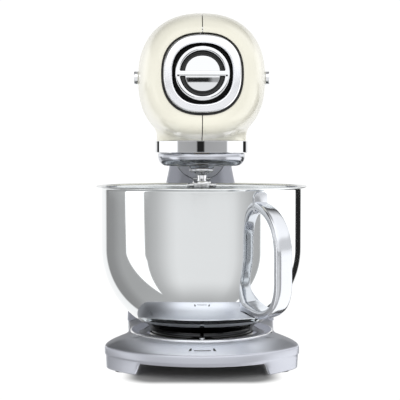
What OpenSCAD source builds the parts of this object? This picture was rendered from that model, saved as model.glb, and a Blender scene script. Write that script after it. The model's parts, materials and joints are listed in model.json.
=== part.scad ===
// Tilt-head stand mixer: base and column, tilting head with motor and planetary drive, bowl and flat beater.
// The nose points along -Y, +X is the right-hand side seen from the front, +Z is up.
// The feet stand on z = 0.

/* [Head] */
// Height of the head's long axis
head_z = 295; // [285:1:300]
// Outer radius of the head's round section
head_r = 67; // [62:0.5:68]
// Wall thickness of the two head shells
shell_t = 3; // [2:0.5:4]
// Radius of the neck over the bowl
neck_r = 47; // [46:0.5:48]
// Height of the neck's lower edge
neck_z = 229; // [228:0.5:230]

/* [Front hub] */
// Half the width of the front bezel
bezel_half = 38.5; // [36:0.5:40]
// Corner radius of the bezel's outline
bezel_corner = 25; // [20:1:30]
// Radius of the pull-off cap
cap_r = 25.7; // [24:0.1:26.5]
// Bore of the attachment hub
hub_bore_r = 17.5; // [15:0.5:18]
// Height of the hub's axis
hub_z = 292; // [291:0.5:293]

/* [Drive] */
// Gear module of the planetary stage
gear_module = 1.3; // [1.3:0.1:1.3]
// Teeth on the fixed ring gear
ring_teeth = 60; // [60:1:60]
// Teeth on the planet pinion
planet_teeth = 18; // [18:1:18]
// Teeth on the worm wheel
wheel_teeth = 24; // [24:1:24]
// Starts on the worm
worm_starts = 2; // [2:1:2]
// Teeth on the crown gear that drives the hub
crown_teeth = 36; // [36:1:36]
// Teeth on the hub pinion
hub_teeth = 18; // [18:1:18]
// Offset of the motor shaft from the centre plane
motor_x = 23; // [23:0.5:23]
// Height of the motor shaft
motor_z = 288; // [288:0.5:288]
// Outer radius of the motor
motor_r = 31; // [28:0.5:32]

/* [Hinge] */
// Distance of the tilt hinge behind the bowl axis
pivot_y = 178; // [176:1:180]
// Height of the tilt hinge
pivot_z = 214; // [213:0.5:215]
// Radius of the hinge knuckle
knuckle_r = 28; // [27:0.5:28]

/* [Bowl] */
// Radius of the bowl's rim
rim_r = 110.5; // [108:0.5:112]
// Radius of the bowl's straight wall
bowl_r = 105; // [102:0.5:106]
// Height of the rim
rim_z = 183; // [180:0.5:184]
// Wall thickness of the bowl
bowl_t = 1.2; // [0.8:0.1:1.6]
// Turn of the handle to the right of the front
handle_turn = 32.5; // [25:0.5:40]
// Width of the handle strap
handle_w = 15; // [12:0.5:17]
// Thickness of the handle strap
handle_t = 10.5; // [8:0.5:11]

/* [Base] */
// Half the width of the base under the bowl
base_half = 98.6; // [96:0.2:102]
// Radius of the base's front outline
base_r = 115; // [112:0.5:116]
// Half the width of the rear of the base
rear_half = 85.5; // [80:0.5:88]
// Reach of the base behind the bowl axis
base_back = 262; // [250:1:270]
// Height of the base's skirt
skirt_z = 22; // [18:1:24]
// Height of the base's top face
deck_z = 30; // [28:0.5:31]

/* [Hidden] */
$fn = 96;

// The box is centred on the origin, between the handle's front and the head's tail.
tail_y = 284;
handle_out = 148.6;
strap_c = 4;
front_y = (handle_out - strap_c) * cos(handle_turn) + (handle_w / 2 - strap_c) * sin(handle_turn) + strap_c;
bowl_y = (front_y - tail_y) / 2;

cream = [0.93, 0.91, 0.83];
silver = [0.71, 0.72, 0.74];
steel = [0.78, 0.79, 0.80];
chrome = [0.86, 0.87, 0.88];
black = [0.07, 0.07, 0.08];
brass = [0.78, 0.64, 0.32];

nose_y = -112;
nose_reach = 100;
tail_start = 180;
nose_r = 37;
fit = 0.05;
gap = 0.4;
seam = 0.3;
ring_pitch = gear_module * ring_teeth / 2;
planet_pitch = gear_module * planet_teeth / 2;
planet_y = -(ring_pitch - planet_pitch);
gear_low = 219;
gear_high = 228;
box_r = 43.7;
box_top = 304;
box_floor = 240;
snout_r = 21;
snout_end = -106;
pan_low = 203.5;
pan_top = 216.5;
pan_r = 45;
boss_r = 13.3;
boss_low = 201.3;
shaft_r = 6;
beater_r = 5.4;
pin_z = 190.5;
worm_r = 5;
wheel_pitch = motor_x - worm_r;
worm_lead = 2 * PI * wheel_pitch * worm_starts / wheel_teeth;
lead_angle = atan(worm_lead / (2 * PI * worm_r));
hub_module = 1.5;
crown_r = hub_module * crown_teeth / 2;
rotor_r = 17.5;
deck_r = 80;
plate_r = 75;
clamp_screw_r = 63;
gland_x = 20;
pocket_z = 25.2;
lugs = 3;
lug_angle = 24;
unlock_turn = 28;
grip_low = 88;
grip_high = 136;
bend_high = 33;
bend_low = 24;
arc_r = 93.9;
arc_z = 118;
bowl_low = 42;
foot_r = 54;
slot_r = 30.3;
u_z = 216;
column_top = 226;
button_z = 165;
latch_y = 200;
latch_z = 150;
head_top = head_z + head_r;
post_ys = [140, 234];
cover_screw_ys = [-80, 20, 130];
frame_screw_ys = [80, 108];
speed_y = 132;
knob_y = 158;

// ---- shared shapes ----

// Everything is drawn about the bowl axis and then moved as one.
module at_bowl() translate([0, bowl_y, 0]) children();

// A bar along Y from y0 to y1.
module y_cyl(x, z, r, y0, y1) translate([x, y0, z]) rotate([-90, 0, 0]) cylinder(r = r, h = y1 - y0);

// A bar along X from x0 to x1.
module x_cyl(y, z, r, x0, x1) translate([x0, y, z]) rotate([0, 90, 0]) cylinder(r = r, h = x1 - x0);

module z_cyl(x, y, r, z0, z1) translate([x, y, z0]) cylinder(r = r, h = z1 - z0);

module box(lo, hi) translate(lo) cube(hi - lo);

module rounded_square(half, r) {
    square([2 * half, 2 * (half - r)], center = true);
    square([2 * (half - r), 2 * half], center = true);
    for (sx = [-1, 1], sy = [-1, 1]) translate([sx * (half - r), sy * (half - r)]) circle(r);
}

// A flat outline in X-Z, extruded along Y from y0 to y1.
module along_y(y0, y1) translate([0, y1, 0]) rotate([90, 0, 0]) linear_extrude(y1 - y0) children();

// A flat outline in Y-Z, extruded along X over a width centred on the middle.
module along_x(w) rotate([90, 0, 90]) translate([0, 0, -w / 2]) linear_extrude(w) children();

// A sector of a disc in the XY plane, centred on azimuth mid.
module sector(r, mid, wide) polygon(concat([[0, 0]], [for (k = [0 : 8])
    r / cos(wide / 16) * [cos(mid - wide / 2 + wide * k / 8), sin(mid - wide / 2 + wide * k / 8)]]));

// A pan-head screw with its head at z = 0 and its shank pointing down.
module screw(head_r, shank_r, len) {
    difference() {
        cylinder(r = head_r, h = head_r * 0.6);
        translate([0, 0, head_r * 0.3]) cylinder(r = head_r * 0.45, h = head_r, $fn = 6);
    }
    translate([0, 0, -len]) cylinder(r = shank_r, h = len);
}

// A spur gear outline with straight-flanked teeth.
module gear_2d(teeth, m, add, ded, land) {
    pitch = m * teeth / 2;
    circle(pitch - ded);
    for (i = [0 : teeth - 1]) rotate(i * 360 / teeth)
        polygon([[pitch - ded - 0.4, -land * 1.35], [pitch + add, -land * 0.75],
                 [pitch + add, land * 0.75], [pitch - ded - 0.4, land * 1.35]]);
}

// ---- base ----

// Half-width of the base's front at a distance behind the bowl's axis, and the same from back to front.
base_side = [[60, -120], [84, -92], [94, -72], [base_half, -50], [base_half, -40], [base_half - 3, -20],
             [base_half - 9, 8], [base_half - 12.4, 30], [rear_half, 60]];
base_side_back = [for (k = [len(base_side) - 1 : -1 : 0]) base_side[k]];

// Plan of the base: a round front under the bowl, drawn in to a narrower straight rear.
module base_plan(inset = 0) {
    intersection() {
        circle(base_r - inset);
        polygon([for (s = [1, -1], p = s > 0 ? base_side : base_side_back) [s * (p[0] - inset), p[1]]]);
    }
    translate([-rear_half + inset, 0]) square([2 * (rear_half - inset), base_back - 40]);
    translate([-rear_half + 40, 0]) square([2 * (rear_half - 40), base_back - inset]);
    for (s = [-1, 1]) translate([s * (rear_half - 40), base_back - 40]) circle(40 - inset);
}

module foot_pads(r, z0, z1) for (s = [-1, 1]) {
    z_cyl(s * 77, -68, r, z0, z1);
    z_cyl(s * 62, 215, r, z0, z1);
}

module base_casting() color(silver) at_bowl() {
    difference() {
        union() {
            translate([0, 0, 12]) linear_extrude(skirt_z - 12) base_plan();
            intersection() {
                translate([0, 0, skirt_z]) cylinder(r1 = base_r + 1, r2 = deck_r, h = deck_z - skirt_z);
                translate([0, 0, skirt_z]) linear_extrude(20) base_plan(2);
            }
            translate([0, 0, skirt_z]) linear_extrude(deck_z - skirt_z) intersection() {
                base_plan(1);
                translate([-100, 60]) square([200, 300]);
            }
            translate([0, 0, 3]) linear_extrude(10) intersection() {
                base_plan(1);
                union() {
                    for (s = [-1, 1]) translate([s * 86, -68]) square([40, 56], center = true);
                    for (s = [-1, 1]) translate([s * 68, 225]) square([60, 76], center = true);
                }
            }
        }
        // Room for the electrics, open below and closed by the cover.
        translate([0, 0, 11]) linear_extrude(10) intersection() {
            base_plan(5);
            union() {
                translate([-58, -96]) square([116, 260]);
                translate([-30, 150]) square([60, 100]);
            }
        }
        z_cyl(0, 0, 61.2, pocket_z, deck_z + 5);
        z_cyl(0, 0, plate_r + 1, 29, deck_z + 5);
        foot_pads(10, 2, 5);
        // Wire hole up into the column.
        box([-25, 150, 15], [25, 220, deck_z + 5]);
        for (a = [30 : 120 : 270]) z_cyl(clamp_screw_r * cos(a), clamp_screw_r * sin(a), 1.6, 20, 40);
        for (s = [-1, 1], y = post_ys) {
            z_cyl(s * 42, y, 2, 5, 40);
            z_cyl(s * 42, y, 4.4, 0, 21);
        }
        y_cyl(gland_x, 16, 5, 240, 280);
        for (s = [-1, 1], y = cover_screw_ys) z_cyl(s * 50, y, 1.4, 10, 19.5);
        lock_mark();
    }
    // Bosses that take the cover's screws.
    for (s = [-1, 1], y = cover_screw_ys) difference() {
        z_cyl(s * 50, y, 4, 13.2, 21);
        z_cyl(s * 50, y, 1.4, 13, 19.5);
    }
}

// Generic locking mark pressed into the base's front slope: a shallow arc between two wedges.
module lock_mark() {
    translate([0, 0, 24.5]) linear_extrude(10) intersection() {
        difference() {
            circle(103.5);
            circle(102.5);
        }
        sector(110, -90, 9);
    }
    for (s = [-1, 1]) rotate(s * 6.8) translate([0, -103, 24.5])
        rotate(s * 30 - 90) cylinder(r = 2, h = 10, $fn = 3);
}

module base_cover() color(black) at_bowl() difference() {
    translate([0, 0, 11.2]) linear_extrude(2) intersection() {
        base_plan(5.6);
        union() {
            translate([-57.4, -95.4]) square([114.8, 258.8]);
            translate([-29.4, 150]) square([58.8, 97]);
        }
    }
    for (s = [-1, 1], y = cover_screw_ys) z_cyl(s * 50, y, 1.7, 10, 20);
    for (k = [-4 : 4]) box([k * 8 - 1.5, 50, 10], [k * 8 + 1.5, 80, 20]);
}

module base_cover_screws() color(steel) at_bowl() for (s = [-1, 1], y = cover_screw_ys)
    translate([s * 50, y, 11.2]) rotate([180, 0, 0]) screw(3, 1.4, 8);

module rubber_feet() color(black) at_bowl() difference() {
    foot_pads(10, 0, 5);
    foot_pads(6, -1, 1);
}

module clamp_plate() color(chrome) at_bowl() difference() {
    rotate_extrude() polygon([[55, 29], [66, 29], [73, 30], [75, 30], [75, 31.5], [72.5, 31.5], [66, 30.6],
                              [55, 30.6]]);
    for (k = [0 : lugs - 1]) translate([0, 0, 28]) linear_extrude(5)
        sector(60, -90 + k * 120, lug_angle + 6);
    for (a = [30 : 120 : 270]) z_cyl(clamp_screw_r * cos(a), clamp_screw_r * sin(a), 1.7, 20, 40);
}

module clamp_screws() color(steel) at_bowl() for (a = [30 : 120 : 270])
    translate([clamp_screw_r * cos(a), clamp_screw_r * sin(a), 30.6]) screw(2.7, 1.6, 9);

module cord_gland() color(black) at_bowl() difference() {
    union() {
        y_cyl(gland_x, 16, 5, 248, base_back + 6);
        y_cyl(gland_x, 16, 6.5, base_back, base_back + 3);
    }
    y_cyl(gland_x, 16, 3.4, 240, base_back + 8);
}

// The board with its choke, its relay and the heat sink of the speed control.
module power_board() color("darkgreen") at_bowl() {
    box([-25, 100, 13.2], [25, 160, 14.8]);
    box([-18, 104, 14.8], [-4, 122, 20]);
    box([2, 104, 14.8], [18, 118, 19]);
    box([-16, 130, 14.8], [16, 150, 18]);
}

// ---- column ----

// Half-width of the column at a height: nearly straight, with a gentle flare into the foot.
function column_half(z) = 34 + 0.0425 * pow(max(0, column_top - z), 1.35);

module column_front_2d(inset = 0) polygon(concat(
    [for (k = [0 : 14]) let (z = deck_z + k * 14) [column_half(z) - inset, z]],
    [for (k = [14 : -1 : 0]) let (z = deck_z + k * 14) [inset - column_half(z), z]]));

module column_side_2d() polygon([
    [88, deck_z], [100, 48], [108, 80], [114, 120], [117.5, 160], [119, 195], [121, column_top],
    [180, column_top], [204, 207], [214, 193], [226, 180], [236, 150], [244, 110], [250, 70], [254, deck_z]]);

module column_room_2d() polygon([
    [101, 37], [110, 60], [117, 90], [124, 140], [127, 176], [204, 176], [217, 168], [228, 140], [237, 100],
    [243, 60], [246, 37]]);

// The slot that takes the head's knuckle: round below, open above and in front.
module saddle_slot() {
    y_cyl(0, u_z, slot_r, 80, pivot_y);
    box([-slot_r, 80, u_z], [slot_r, pivot_y, 260]);
    x_cyl(pivot_y, pivot_z, knuckle_r + 0.6, -slot_r, slot_r);
    box([-slot_r, pivot_y, pivot_z], [slot_r, pivot_y + 60, 260]);
}

module column() color(silver) at_bowl() difference() {
    intersection() {
        along_y(80, 270) column_front_2d();
        along_x(260) column_side_2d();
        linear_extrude(260) base_plan(4);
    }
    difference() {
        intersection() {
            along_y(80, 270) intersection() {
                column_front_2d(6);
                translate([-90, 0]) square([180, 180]);
            }
            along_x(260) column_room_2d();
        }
        for (s = [-1, 1], y = post_ys) z_cyl(s * 42, y, 7, deck_z, deck_z + 20);
    }
    box([-25, 150, 20], [25, 220, 40]);
    saddle_slot();
    x_cyl(pivot_y, pivot_z, 5, -60, 60);
    y_cyl(0, button_z, 11.3, 200, 260);
    box([-7, 170, 140], [7, 207, 190]);
    for (s = [-1, 1], y = post_ys) z_cyl(s * 42, y, 2, deck_z - 1, deck_z + 14);
    x_cyl(latch_y, latch_z, 2.5, -46, 46);
}

module column_screws() color(steel) at_bowl() for (s = [-1, 1], y = post_ys)
    translate([s * 42, y, 21]) rotate([180, 0, 0]) screw(4, 2, 20);

module hinge_pin() color(steel) at_bowl() x_cyl(pivot_y, pivot_z, 5, -33, 33);

module hinge_bushes() color(brass) at_bowl() for (s = [-1, 1]) difference() {
    x_cyl(pivot_y, pivot_z, 7.5, s * 22 - 7.5, s * 22 + 7.5);
    x_cyl(pivot_y, pivot_z, 5 + fit, s * 22 - 9, s * 22 + 9);
}

// The pawl leans on the underside of the knuckle and swings back when the button is pressed.
module latch_lever() color(steel) at_bowl() difference() {
    union() {
        box([-6, 197, 146], [6, 203, 172]);
        box([-6, 180, 168], [6, 203, 172]);
        box([-6, 180, 168], [6, 185, 183.5]);
        x_cyl(latch_y, latch_z, 5, -6, 6);
    }
    x_cyl(latch_y, latch_z, 2.5 + fit, -8, 8);
}

module latch_pin() color(steel) at_bowl() x_cyl(latch_y, latch_z, 2.5, -46, 46);

module release_button() color(chrome) at_bowl() {
    y_cyl(0, button_z, 11, 223, 240);
    y_cyl(0, button_z, 2.5, 204.4, 223);
}

module button_spring() color(steel) at_bowl() for (k = [0 : 3]) translate([0, 210.5 + k * 3.9, button_z])
    rotate([90, 0, 0]) rotate_extrude() translate([6.4, 0]) circle(0.7);

// ---- head ----

function nose_curve(t, r0, r1) = [nose_y + nose_reach * (1 - cos(t)), r0 + (r1 - r0) * sin(t)];

function tail_curve(t, r, reach) = [tail_start + reach * sin(t), r * cos(t)];

// Side outline of the head as [distance along Y, radius].
// It has a domed nose, a straight body and a long round tail.
function head_outline(inset) = concat(
    [[nose_y + (inset > 0 ? -1 : 0), 0]],
    inset > 0 ? [[nose_y - 1, nose_r - inset]] : [],
    [for (t = [0 : 10 : 90]) nose_curve(t, nose_r - inset, head_r - inset)],
    [for (t = [0 : 9 : 90]) tail_curve(t, head_r - inset, tail_y - tail_start - inset)]);

module head_body(inset = 0) translate([0, 0, head_z]) rotate([-90, 0, 0]) rotate_extrude()
    polygon([for (p = head_outline(inset)) [max(p[1], 0), p[0]]]);

module head_shell() difference() {
    union() {
        head_body();
        z_cyl(0, 0, neck_r, neck_z, head_z - 20);
    }
    head_body(shell_t);
    z_cyl(0, 0, neck_r - shell_t, neck_z - 1, head_z);
    z_cyl(0, 0, neck_r + 1.9, 217, neck_z);
    // Seats for the bezel and its gasket, the knuckle and the speed slot.
    translate([0, 0, hub_z]) along_y(nose_y - 10, nose_y + 9) rounded_square(bezel_half + gap, bezel_corner);
    box([-30, 120.6, 200], [30, pivot_y + knuckle_r + gap, 250]);
    box([-4, speed_y - 38, head_z], [4, speed_y + 38, 400]);
    box([-12.4, speed_y - 46.4, head_top - 1.4], [12.4, speed_y + 46.4, 400]);
    for (y = frame_screw_ys) x_cyl(y, 245, 1.6, -60, 60);
}

module half(side) intersection() {
    children();
    translate([side > 0 ? seam : -200 - seam, -200, 100]) cube([200, 600, 400]);
}

module head_shell_left() color(cream) at_bowl() half(-1) head_shell();

module head_shell_right() color(cream) at_bowl() half(1) head_shell();

// Long screws that hold the two shells to the frame below the motor.
module shell_screws() color(steel) at_bowl() for (y = frame_screw_ys) x_cyl(y, 245, 1.6, -43, 43);

// The casting that joins the gearbox to the hinge and carries the motor.
module head_frame() color(silver) at_bowl() difference() {
    union() {
        intersection() {
            along_y(121, 260) union() {
                translate([0, u_z]) circle(slot_r - gap);
                translate([-slot_r + gap, u_z]) square([2 * (slot_r - gap), 24]);
            }
            along_x(200) union() {
                translate([pivot_y, pivot_z]) circle(knuckle_r);
                translate([121, pivot_z - knuckle_r]) square([pivot_y - 121, 60]);
                translate([121, pivot_z]) square([pivot_y - 121 + 0.69 * knuckle_r, 60]);
            }
        }
        box([-22, 42, 240], [22, 200, 250]);
        for (y = [64, 138]) box([motor_x - 14, y, 249], [motor_x - 1, y + 10, 262]);
    }
    z_cyl(0, 0, box_r, 230, 300);
    x_cyl(pivot_y, pivot_z, 5 + fit, -50, 50);
    for (s = [-1, 1]) x_cyl(pivot_y, pivot_z, 7.5, s * 22 - 7.5, s * 22 + 7.5);
    for (y = frame_screw_ys) x_cyl(y, 245, 1.6, -60, 60);
    y_cyl(motor_x, motor_z, motor_r, 50, 160);
    // Room for the wires.
    box([-14, 126, 222], [14, 146, 260]);
}

module bezel_ring() color(chrome) at_bowl() translate([0, 0, hub_z]) difference() {
    union() {
        along_y(nose_y - 3, nose_y + 6) rounded_square(bezel_half, bezel_corner);
        along_y(nose_y - 5, nose_y - 3) rounded_square(bezel_half - 2, bezel_corner - 2);
    }
    along_y(nose_y - 6, nose_y + 10) rounded_square(28.4, 21);
}

module bezel_gasket() color(black) at_bowl() translate([0, 0, hub_z]) difference() {
    along_y(nose_y - 1, nose_y + 6) rounded_square(28.4, 21);
    y_cyl(0, 0, snout_r + 1.7, nose_y - 2, nose_y + 10);
}

// Plain bright strips along both sides of the head.
module side_trims() color(chrome) at_bowl() for (s = [-1, 1]) difference() {
    translate([s * (head_r + 1.2), 0, head_z - 1]) rotate([0, 90, 0]) translate([0, 0, -2.6])
        linear_extrude(5.2) {
            translate([-7, -20]) square([14, 90]);
            for (y = [-20, 70]) translate([0, y]) circle(7);
        }
    head_body();
}

module neck_band() color(chrome) at_bowl() difference() {
    z_cyl(0, 0, neck_r + 1.5, 217.3, neck_z - 0.2);
    z_cyl(0, 0, box_r, 210, 240);
}

module gearbox() color([0.62, 0.63, 0.65]) at_bowl() difference() {
    union() {
        z_cyl(0, 0, box_r, 217.3, box_top);
        y_cyl(0, hub_z, snout_r, snout_end, -30);
    }
    z_cyl(0, 0, box_r, box_top, box_top + 20);
    z_cyl(0, 0, 42, 210, gear_high + 0.2);
    z_cyl(0, 0, 40, box_floor, box_top + 1);
    z_cyl(0, 0, 13, 230, box_floor + 1);
    z_cyl(0, 0, 10, 220, 235);
    y_cyl(0, hub_z, hub_bore_r, snout_end - 1, -43);
    y_cyl(0, hub_z, 15.2, -44, -20);
    y_cyl(motor_x, motor_z, 12, 20, 60);
}

module gearbox_cover() color([0.62, 0.63, 0.65]) at_bowl() difference() {
    union() {
        z_cyl(0, 0, box_r, box_top, box_top + 4);
        z_cyl(0, 0, 17, box_top - 7, box_top + 1);
    }
    z_cyl(0, 0, 13, box_top - 8, box_top + 1);
    // Room for the hub pinion.
    y_cyl(0, hub_z, 15.1, -31, -23.4);
}

module ring_gear() color(steel) at_bowl() translate([0, 0, gear_low]) linear_extrude(gear_high - gear_low)
    difference() {
        circle(42);
        rotate(180 / ring_teeth) gear_2d(ring_teeth, gear_module, 1.9, 1.15, 0.78);
    }

// A ball bearing drawn as its two rings and its shield.
module bearing(r_in, r_out, z0, z1) difference() {
    z_cyl(0, 0, r_out, z0, z1);
    z_cyl(0, 0, r_in, z0 - 1, z1 + 1);
    difference() {
        z_cyl(0, 0, r_out - 2, z1 - 0.6, z1 + 1);
        z_cyl(0, 0, r_in + 2, z1 - 2, z1 + 2);
    }
}

module shaft_bearings() color(steel) at_bowl() {
    bearing(shaft_r + fit, 13, 230, 239);
    bearing(shaft_r + fit, 13, box_top - 7, box_top + 1);
}

module hub_bush() color(brass) at_bowl() difference() {
    y_cyl(0, hub_z, hub_bore_r, -74, -50);
    y_cyl(0, hub_z, 7 + fit, -80, -40);
}

module motor_stator() color([0.35, 0.36, 0.38]) at_bowl() difference() {
    y_cyl(motor_x, motor_z, motor_r, 76, 134);
    y_cyl(motor_x, motor_z, rotor_r + 0.9, 70, 140);
    for (s = [-1, 1]) box([motor_x - 9, 70, motor_z + s * 25 - 3], [motor_x + 9, 140, motor_z + s * 25 + 3]);
}

module motor_bracket(y0, y1, seat) difference() {
    y_cyl(motor_x, motor_z, motor_r, y0, y1);
    y_cyl(motor_x, motor_z, 8, seat, seat + 6);
    y_cyl(motor_x, motor_z, 6, y0 - 1, y1 + 1);
    for (a = [45 : 90 : 315]) y_cyl(motor_x + 21 * cos(a), motor_z + 21 * sin(a), 6, y0 - 1, y1 + 1);
}

module motor_bracket_front() color([0.55, 0.56, 0.58]) at_bowl() motor_bracket(64, 76, 70);

module motor_bracket_rear() color([0.55, 0.56, 0.58]) at_bowl() motor_bracket(134, 148, 134);

module motor_bearings() color(steel) at_bowl() for (y = [70, 134]) difference() {
    y_cyl(motor_x, motor_z, 8, y, y + 6);
    y_cyl(motor_x, motor_z, 4 + fit, y - 1, y + 7);
}

module brush_holders() color(brass) at_bowl() for (s = [-1, 1])
    box([motor_x + s * 13 - 3.5, 122, motor_z - 3], [motor_x + s * 13 + 3.5, 134, motor_z + 3]);

module speed_plate() color(chrome) at_bowl() difference() {
    translate([0, speed_y, head_top - 1.4]) linear_extrude(2) difference() {
        union() {
            square([16, 92], center = true);
            square([24, 84], center = true);
            for (sx = [-1, 1], sy = [-1, 1]) translate([sx * 8, sy * 42]) circle(4);
        }
        square([6, 72], center = true);
    }
}

module speed_switch() color(black) at_bowl() difference() {
    box([-11, speed_y - 40, head_top - 26], [11, speed_y + 40, head_top - 12]);
    box([-2.6, speed_y - 36, head_top - 22], [2.6, speed_y + 36, head_top]);
}

module speed_knob() {
    color(black) at_bowl() box([-2, knob_y - 6, head_top - 20], [2, knob_y + 6, head_top + 3]);
    color(chrome) at_bowl() difference() {
        union() {
            z_cyl(0, knob_y, 9, head_top + 1, head_top + 5);
            z_cyl(0, knob_y, 5.5, head_top + 5, head_top + 9);
            translate([0, knob_y, head_top + 10]) intersection() {
                sphere(r = 8.5);
                translate([0, 0, 0.5]) cube([30, 30, 11], center = true);
            }
        }
        box([-2, knob_y - 6, head_top - 20], [2, knob_y + 6, head_top + 3]);
    }
}

// ---- motor rotor ----

module rotor_shaft() color(steel) at_bowl() {
    y_cyl(motor_x, motor_z, 4, 15, 168);
    y_cyl(motor_x, motor_z, 3.1, -20, 15);
    worm();
}

// Half-open two-start thread: the core with two lobes, twisted along the shaft.
module worm() translate([motor_x, 13, motor_z]) rotate([90, 0, 0]) rotate(90 - 360 * 13 / worm_lead)
    linear_extrude(26, twist = -360 * 26 / worm_lead, slices = 44, $fn = 24)
        polygon([for (a = [0 : 15 : 345]) let (d = min(a % 180, 180 - a % 180))
            (d <= 15 ? 6.2 : d <= 30 ? 5.2 : d <= 45 ? 4.4 : 3.3) * [cos(a), sin(a)]]);

module rotor_core() color([0.3, 0.3, 0.32]) at_bowl() difference() {
    y_cyl(motor_x, motor_z, rotor_r, 80, 118);
    y_cyl(motor_x, motor_z, 4, 70, 130);
    for (k = [0 : 11]) translate([motor_x, 0, motor_z]) rotate([0, 30 * k, 0])
        box([rotor_r - 5, 78, -0.8], [rotor_r + 1, 120, 0.8]);
}

module commutator() color([0.72, 0.45, 0.25]) at_bowl() difference() {
    y_cyl(motor_x, motor_z, 9, 120, 132);
    y_cyl(motor_x, motor_z, 4, 110, 140);
}

module cooling_fan() color(black) at_bowl() difference() {
    union() {
        y_cyl(motor_x, motor_z, 8, 151, 163);
        y_cyl(motor_x, motor_z, 25, 151, 152.5);
        for (k = [0 : 8]) translate([motor_x, 0, motor_z]) rotate([0, 40 * k, 0])
            box([7, 152, -0.8], [25, 163, 0.8]);
    }
    y_cyl(motor_x, motor_z, 4, 140, 170);
}

// ---- planetary drive ----

module drive_shaft() color(steel) at_bowl() z_cyl(0, 0, shaft_r, 207, box_top);

// The teeth lean by the worm's lead angle.
module worm_wheel() color(brass) at_bowl() difference() {
    union() {
        z_cyl(0, 0, wheel_pitch - 1.8, motor_z - 4, motor_z + 4);
        z_cyl(0, 0, 9, 276.6, 296.6);
        for (i = [0 : wheel_teeth - 1]) rotate(i * 360 / wheel_teeth)
            translate([wheel_pitch - 0.5, 0, motor_z]) rotate([-lead_angle, 0, 0])
                cube([3.4, 1.2, 6], center = true);
    }
    z_cyl(0, 0, shaft_r, 270, 300);
}

module crown_gear() color(steel) at_bowl() difference() {
    union() {
        z_cyl(0, 0, 30, 272, 276.6);
        for (i = [0 : crown_teeth - 1]) rotate((i + 0.5) * 360 / crown_teeth)
            translate([crown_r - 2.5, -0.75, 276]) cube([5, 1.5, 3.6]);
        z_cyl(0, 0, 12, 266, 272);
    }
    z_cyl(0, 0, shaft_r, 260, 300);
}

module planet_carrier() color(silver) at_bowl() difference() {
    union() {
        translate([0, 0, pan_low]) rotate_extrude() intersection() {
            union() {
                square([pan_r - 9, 13]);
                translate([0, 9]) square([pan_r, 4]);
                translate([pan_r - 9, 9]) circle(9);
            }
            square([60, pan_top - pan_low]);
        }
        z_cyl(0, planet_y, boss_r, boss_low, pan_low + 1);
        z_cyl(0, 0, 9, pan_top - 1, pan_top + 1.5);
    }
    z_cyl(0, 0, shaft_r, 207, 230);
    z_cyl(0, planet_y, 8.4, 190, 230);
}

module planet_bushes() color(brass) at_bowl() difference() {
    z_cyl(0, planet_y, 8.4, boss_low, pan_top + 1.5);
    z_cyl(0, planet_y, beater_r + fit, 190, 230);
}

module beater_shaft() color(steel) at_bowl() difference() {
    z_cyl(0, planet_y, beater_r, 166, gear_high);
    x_cyl(planet_y, pin_z, 1.6, -20, 20);
}

module planet_pinion() color(steel) at_bowl() translate([0, planet_y, gear_low])
    linear_extrude(gear_high - gear_low - 0.3) difference() {
        gear_2d(planet_teeth, gear_module, 1, 1.5, 0.6);
        circle(beater_r);
    }

module drip_washer() color(chrome) at_bowl() translate([0, planet_y, 0]) rotate_extrude()
    polygon([[beater_r, 195], [6.4, 195], [7.6, 196.6], [10.6, 197.2], [12.2, 198.4], [12.6, 199.8],
             [12, 201], [beater_r, 201]]);

module beater_pin() color(steel) at_bowl() x_cyl(planet_y, pin_z, 1.6, -8.6, 8.6);

// Half-width of the beater's outline at a height, following the bowl's inside.
beater_outline = [[8, 176], [20, 170], [40, 158], [54, 140], [60, 118], [59, 95], [54, 77], [46, 64.5],
                  [34, 55], [18, 52]];

module beater_frame_2d(inset) polygon(concat(
    [for (p = beater_outline) [max(p[0] - inset, 1), p[1] + (p[1] > 110 ? -inset : inset) * 0.8]],
    [for (k = [len(beater_outline) - 1 : -1 : 0]) let (p = beater_outline[k])
        [-max(p[0] - inset, 1), p[1] + (p[1] > 110 ? -inset : inset) * 0.8]]));

// A heart-shaped frame with a spine, a crossbar and a sleeve with two ears that fit the pin.
module flat_beater() color([0.80, 0.80, 0.79]) at_bowl() translate([0, planet_y, 0]) difference() {
    union() {
        along_y(-4, 4) {
            difference() {
                beater_frame_2d(0);
                beater_frame_2d(9);
            }
            translate([-4.5, 55]) square([9, 120]);
            translate([-57, 92]) square([114, 8]);
        }
        z_cyl(0, 0, 8.5, 150, 188.6);
        intersection() {
            z_cyl(0, 0, 15, 181, 186);
            box([-20, -5, 180], [20, 5, 190]);
        }
    }
    z_cyl(0, 0, beater_r + fit, 164, 200);
}

// ---- attachment hub ----

module hub_shaft() color(steel) at_bowl() difference() {
    union() {
        y_cyl(0, hub_z, 7, -76, -24);
        y_cyl(0, hub_z, 12, -78, -74.3);
    }
    box([-4.2, -80, hub_z - 4.2], [4.2, -60, hub_z + 4.2]);
}

module hub_pinion() color(steel) at_bowl() translate([0, 0, hub_z]) along_y(-30, -24.4) difference() {
    rotate(180 / hub_teeth) gear_2d(hub_teeth, hub_module, 1.2, 1.6, 0.62);
    circle(7);
}

module hub_cap() color(black) at_bowl() difference() {
    union() {
        y_cyl(0, hub_z, cap_r - 0.4, nose_y - 4, nose_y - 1.4);
        y_cyl(0, hub_z, snout_r + 1.35, nose_y - 2, nose_y + 10);
    }
    y_cyl(0, hub_z, snout_r + 0.3, nose_y + 2, nose_y + 20);
}

module hub_cap_ring() color(chrome) at_bowl() translate([0, 0, hub_z]) {
    along_y(nose_y - 8, nose_y - 4) {
        difference() {
            circle(cap_r);
            circle(21);
        }
        square([46, 5], center = true);
    }
    along_y(nose_y - 6, nose_y - 4) circle(15.5);
}

// ---- bowl ----

function bowl_arc(t, inset) = [bowl_r - arc_r + (arc_r - inset) * cos(t), arc_z - (arc_r - inset) * sin(t)];

function bowl_side(inset) = [for (k = [10 : -1 : 0]) bowl_arc(k * 5.3, inset)];

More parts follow.
